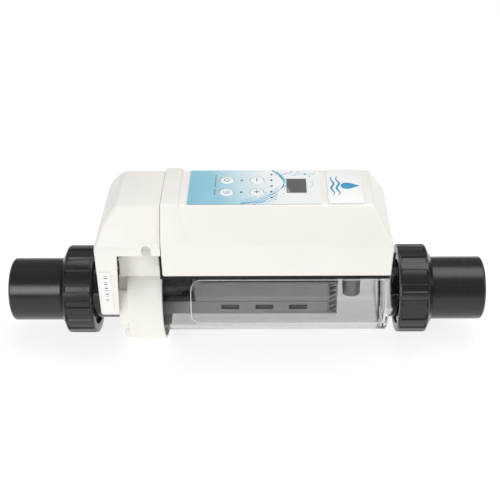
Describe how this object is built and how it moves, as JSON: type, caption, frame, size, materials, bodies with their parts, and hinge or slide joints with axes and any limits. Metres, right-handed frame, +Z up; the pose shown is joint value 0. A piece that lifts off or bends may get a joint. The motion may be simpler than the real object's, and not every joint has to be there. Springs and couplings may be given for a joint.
{
  "type": "inline salt chlorine generator",
  "caption": "Inline pool salt chlorine generator: a clear flow cell with plates, union nuts and pipe sockets at both ends, and a controller box with a keypad on top.",
  "frame": {"origin": "on the pipe's axis, halfway between the outer ends of the two pipe tails", "axes": "+X along the pipe towards the outlet, +Z up towards the keypad, the keypad is read from -Y"},
  "size_m": [0.464, 0.1265, 0.1682],
  "materials": {
    "black_plastic": "satin moulded ABS",
    "seal_rubber": "matt rubber",
    "clear_plastic": "clear moulded plastic, polished",
    "ivory_plastic": "fine satin",
    "grey_plastic": "matt moulded",
    "titanium": "coated titanium, grey",
    "steel": "stainless",
    "brass": "turned",
    "dark_plastic": "matt moulded",
    "white_plastic": "smooth",
    "panel_film": "printed film, graded from aqua to white",
    "smoked_window": "polished smoked acrylic",
    "circuit_board": "solder mask",
    "silver_metal": "extruded or laminated",
    "copper_winding": "enamelled copper",
    "red_wire": "wire insulation",
    "black_wire": "wire insulation"
  },
  "bodies": {
    "cell_unit": {"union_seal_right": "seal_rubber", "union_seal_left": "seal_rubber", "clear_cell_housing": "clear_plastic", "electrode_head": "black_plastic", "head_seal": "seal_rubber", "cassette_upper": "grey_plastic", "cassette_lower": "grey_plastic", "electrode_plate_1": "titanium", "electrode_plate_2": "titanium", "electrode_plate_3": "titanium", "electrode_plate_4": "titanium", "electrode_plate_5": "titanium", "plate_comb": "grey_plastic", "anode_terminal": "titanium", "cathode_terminal": "titanium", "salinity_probe": "steel", "anode_nut": "brass", "cathode_nut": "brass", "anode_lead": "red_wire", "cathode_lead": "black_wire", "flow_sensor": "grey_plastic", "paddle_pin": "steel", "controller_base": "dark_plastic", "base_gasket": "seal_rubber", "cover_screw_1": "steel", "cover_screw_2": "steel", "cover_screw_3": "steel", "cover_screw_4": "steel", "foot_screw_1": "steel", "foot_screw_2": "steel", "controller_cover": "ivory_plastic", "end_cap": "ivory_plastic", "terminal_tray": "ivory_plastic", "cap_screw_front": "steel", "cap_screw_rear": "steel", "rating_label": "white_plastic", "cable_gland": "seal_rubber", "panel_overlay": "panel_film", "name_plate": "white_plastic", "light_pipe": "clear_plastic", "display_window": "smoked_window", "display_module": "dark_plastic", "keypad_board": "circuit_board", "main_board": "circuit_board", "transformer_core": "silver_metal", "transformer_winding": "copper_winding", "heat_sink": "silver_metal", "ribbon_cable": "grey_plastic"},
    "lock_ring": {"lock_ring": "ivory_plastic"},
    "outlet_tail": {"union_tail_right": "black_plastic"},
    "outlet_nut": {"union_nut_right": "black_plastic"},
    "inlet_tail": {"union_tail_left": "black_plastic"},
    "inlet_nut": {"union_nut_left": "black_plastic"},
    "power_key": {"key_power": "white_plastic"},
    "mode_key": {"key_mode": "white_plastic"},
    "minus_key": {"key_minus": "white_plastic"},
    "plus_key": {"key_plus": "white_plastic"},
    "paddle": {"flow_paddle": "grey_plastic"}
  },
  "joints": [
    {"name": "lock_ring_turn", "type": "hinge", "parent": "cell_unit", "child": "lock_ring", "pos_m": [-0.095, 0, 0], "axis": [1, 0, 0], "range_deg": [0, 45]},
    {"name": "outlet_tail_travel", "type": "slide", "parent": "cell_unit", "child": "outlet_tail", "axis": [1, 0, 0], "range_m": [0, 0.0211]},
    {"name": "outlet_nut_turn", "type": "hinge", "parent": "outlet_tail", "child": "outlet_nut", "pos_m": [0.166, 0, 0], "axis": [1, 0, 0], "range_deg": [0, 1512]},
    {"name": "inlet_tail_travel", "type": "slide", "parent": "cell_unit", "child": "inlet_tail", "axis": [-1, 0, 0], "range_m": [0, 0.0211]},
    {"name": "inlet_nut_turn", "type": "hinge", "parent": "inlet_tail", "child": "inlet_nut", "pos_m": [-0.166, 0, 0], "axis": [-1, 0, 0], "range_deg": [0, 1512]},
    {"name": "power_key_press", "type": "slide", "parent": "cell_unit", "child": "power_key", "axis": [0, 0, -1], "range_m": [0, 0.0005], "stiffness_N_per_m": 1500},
    {"name": "mode_key_press", "type": "slide", "parent": "cell_unit", "child": "mode_key", "axis": [0, 0, -1], "range_m": [0, 0.0005], "stiffness_N_per_m": 1500},
    {"name": "minus_key_press", "type": "slide", "parent": "cell_unit", "child": "minus_key", "axis": [0, 0, -1], "range_m": [0, 0.0005], "stiffness_N_per_m": 1500},
    {"name": "plus_key_press", "type": "slide", "parent": "cell_unit", "child": "plus_key", "axis": [0, 0, -1], "range_m": [0, 0.0005], "stiffness_N_per_m": 1500},
    {"name": "paddle_swing", "type": "hinge", "parent": "cell_unit", "child": "paddle", "pos_m": [0.104, 0, 0.021], "axis": [0, -1, 0], "range_deg": [0, 35]}
  ],
  "couplings": [
    {"joint": "outlet_tail_travel", "follows": "outlet_nut_turn", "m_per_rad": 0.00079577},
    {"joint": "inlet_tail_travel", "follows": "inlet_nut_turn", "m_per_rad": 0.00079577}
  ]
}
